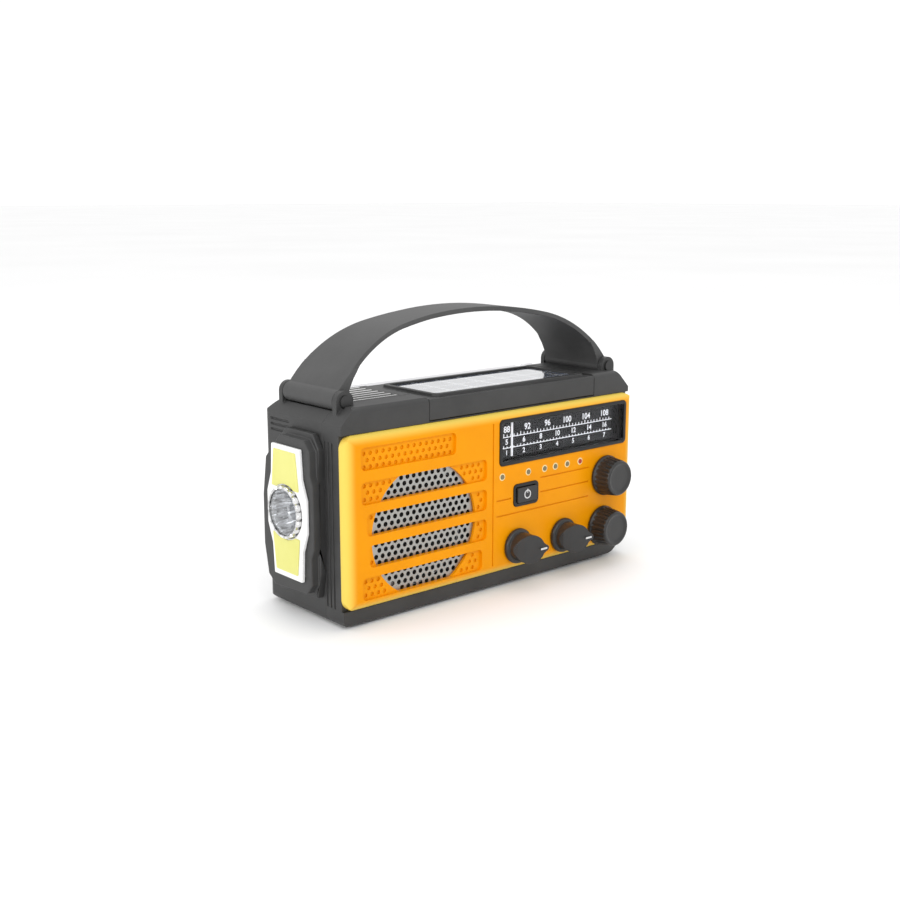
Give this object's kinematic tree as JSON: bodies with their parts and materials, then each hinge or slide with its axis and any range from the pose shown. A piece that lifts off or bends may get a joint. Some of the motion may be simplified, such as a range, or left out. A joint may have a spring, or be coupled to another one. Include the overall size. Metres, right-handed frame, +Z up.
{
  "type": "portable emergency radio",
  "caption": "Hand-held emergency radio with a slotted speaker panel, sliding-needle dial, rotary controls, end torch, tilting solar lid, hand crank, aerial and arched strap handle.",
  "frame": {"origin": "under the middle of the whole radio, on the plane that the rubber feet stand on", "axes": "+X towards the end away from the torch, along the case's length; +Y towards the flat back; +Z up; the coloured front panel faces -Y"},
  "size_m": [0.1736, 0.0781, 0.1195],
  "materials": {
    "black_plastic": "fine texture",
    "board": "solder mask",
    "brass": "turned",
    "cell_sleeve": "shrink sleeve",
    "clear_lens": "clear",
    "cord_fibre": "braided",
    "ferrite": "sintered",
    "gloss_black": "polished",
    "grey_strap": "matte",
    "mesh_metal": "silver paint",
    "natural_plastic": "natural",
    "orange_plastic": "satin",
    "paper_cone": "paper",
    "phosphor": "soft",
    "plated": "polished",
    "pot_metal": "satin",
    "reflector": "vacuum metallised",
    "smoked_glass": "clear smoked",
    "soft_black": "matte",
    "solar": "laminated",
    "steel": "brushed",
    "white_plastic": "satin"
  },
  "bodies": {
    "case": {"front_panel": "orange_plastic", "front_case": "black_plastic", "rear_case": "black_plastic", "speaker_mesh": "mesh_metal", "speaker_basket": "steel", "speaker_cone": "paper_cone", "dial_bezel": "gloss_black", "dial_lens": "smoked_glass", "dial_scale": "gloss_black", "dial_rail": "steel", "dial_cord": "cord_fibre", "tuning_capacitor": "natural_plastic", "rotary_controls": "pot_metal", "button_bezel": "gloss_black", "button_switch": "steel", "indicator_leds": "clear_lens", "main_board": "board", "ferrite_rod": "ferrite", "torch_housing": "black_plastic", "torch_plate": "white_plastic", "cob_strips": "phosphor", "torch_lens": "clear_lens", "torch_reflector": "reflector", "torch_led": "board", "hinge_pins": "steel", "handle_strap": "grey_strap", "spare_cells": "steel", "lithium_cell": "cell_sleeve", "dynamo": "pot_metal", "gearbox_plate": "black_plastic", "usb_ports": "steel", "screws": "steel", "rubber_feet": "soft_black"},
    "tuning": {"tuning_knob": "gloss_black", "tuning_shaft": "pot_metal", "tuning_drum": "natural_plastic"},
    "needle": {"dial_needle": "white_plastic"},
    "volume": {"volume_knob": "gloss_black", "volume_shaft": "pot_metal"},
    "band_selector": {"band_knob": "gloss_black", "band_shaft": "pot_metal"},
    "light_selector": {"light_knob": "gloss_black", "light_shaft": "pot_metal"},
    "button": {"push_button": "soft_black"},
    "lid": {"solar_lid": "black_plastic", "solar_panel": "solar", "lamp_lens": "clear_lens"},
    "door": {"battery_door": "black_plastic"},
    "crank": {"crank_shaft": "steel", "crank_gear": "natural_plastic", "crank_arm": "black_plastic"},
    "idler": {"idler_gear": "natural_plastic"},
    "dynamo_rotor": {"dynamo_pinion": "brass"},
    "grip_spindle": {"crank_spindle": "steel"},
    "grip": {"crank_grip": "soft_black"},
    "aerial": {"aerial_knuckle": "plated", "aerial_tube": "plated"},
    "aerial_second": {"aerial_middle": "plated"},
    "aerial_end": {"aerial_tip": "plated"},
    "port_flap": {"port_cover": "soft_black"}
  },
  "joints": [
    {"name": "tuning_turn", "type": "hinge", "parent": "case", "child": "tuning", "pos_m": [0.06855, -0.02755, 0.0407], "axis": [0, 1, 0], "range_deg": [-16, 240]},
    {"name": "needle_slide", "type": "slide", "parent": "case", "child": "needle", "axis": [1, 0, 0], "range_m": [-0.0046, 0.0626]},
    {"name": "volume_turn", "type": "hinge", "parent": "case", "child": "volume", "pos_m": [0.06685, -0.02755, 0.0174], "axis": [0, 1, 0], "range_deg": [-20, 260]},
    {"name": "band_turn", "type": "hinge", "parent": "case", "child": "band_selector", "pos_m": [0.01325, -0.02755, 0.0181], "axis": [0, 1, 0], "range_deg": [-90, 30]},
    {"name": "light_turn", "type": "hinge", "parent": "case", "child": "light_selector", "pos_m": [0.04115, -0.02755, 0.0177], "axis": [0, 1, 0], "range_deg": [-90, 30]},
    {"name": "button_press", "type": "slide", "parent": "case", "child": "button", "axis": [0, 1, 0], "range_m": [0, 0.001], "stiffness_N_per_m": 800, "springref_m": -0.0008},
    {"name": "lid_tilt", "type": "hinge", "parent": "case", "child": "lid", "pos_m": [0.00515, 0.01825, 0.0837], "axis": [-1, 0, 0], "range_deg": [0, 22]},
    {"name": "door_swing", "type": "hinge", "parent": "case", "child": "door", "pos_m": [-0.04035, 0.02805, 0.0095], "axis": [-1, 0, 0], "range_deg": [0, 90]},
    {"name": "crank_turn", "type": "hinge", "parent": "case", "child": "crank", "pos_m": [0.02465, 0.03245, 0.0445], "axis": [0, 1, 0], "continuous": true},
    {"name": "idler_turn", "type": "hinge", "parent": "case", "child": "idler", "pos_m": [0.04544, 0.01445, 0.0325], "axis": [0, 1, 0], "continuous": true},
    {"name": "rotor_turn", "type": "hinge", "parent": "case", "child": "dynamo_rotor", "pos_m": [0.06276, 0.01345, 0.0225], "axis": [0, 1, 0], "continuous": true},
    {"name": "grip_fold", "type": "hinge", "parent": "crank", "child": "grip_spindle", "pos_m": [0.06665, 0.03465, 0.0445], "axis": [0, 0, -1], "range_deg": [0, 90]},
    {"name": "grip_turn", "type": "hinge", "parent": "grip_spindle", "child": "grip", "pos_m": [0.05365, 0.03465, 0.0445], "axis": [1, 0, 0], "continuous": true},
    {"name": "aerial_swing", "type": "hinge", "parent": "case", "child": "aerial", "pos_m": [-0.05735, 0.02625, 0.0829], "axis": [0, -1, 0], "range_deg": [0, 110]},
    {"name": "aerial_slide_1", "type": "slide", "parent": "aerial", "child": "aerial_second", "axis": [1, 0, 0], "range_m": [0, 0.1]},
    {"name": "aerial_slide_2", "type": "slide", "parent": "aerial_second", "child": "aerial_end", "axis": [1, 0, 0], "range_m": [0, 0.1]},
    {"name": "flap_swing", "type": "hinge", "parent": "case", "child": "port_flap", "pos_m": [0.08615, -0.00535, 0.0545], "axis": [0, 0, -1], "range_deg": [0, 90]}
  ],
  "couplings": [
    {"joint": "needle_slide", "follows": "tuning_turn", "m_per_rad": 0.0148},
    {"joint": "idler_turn", "follows": "crank_turn", "ratio": -4},
    {"joint": "rotor_turn", "follows": "crank_turn", "ratio": 16}
  ]
}
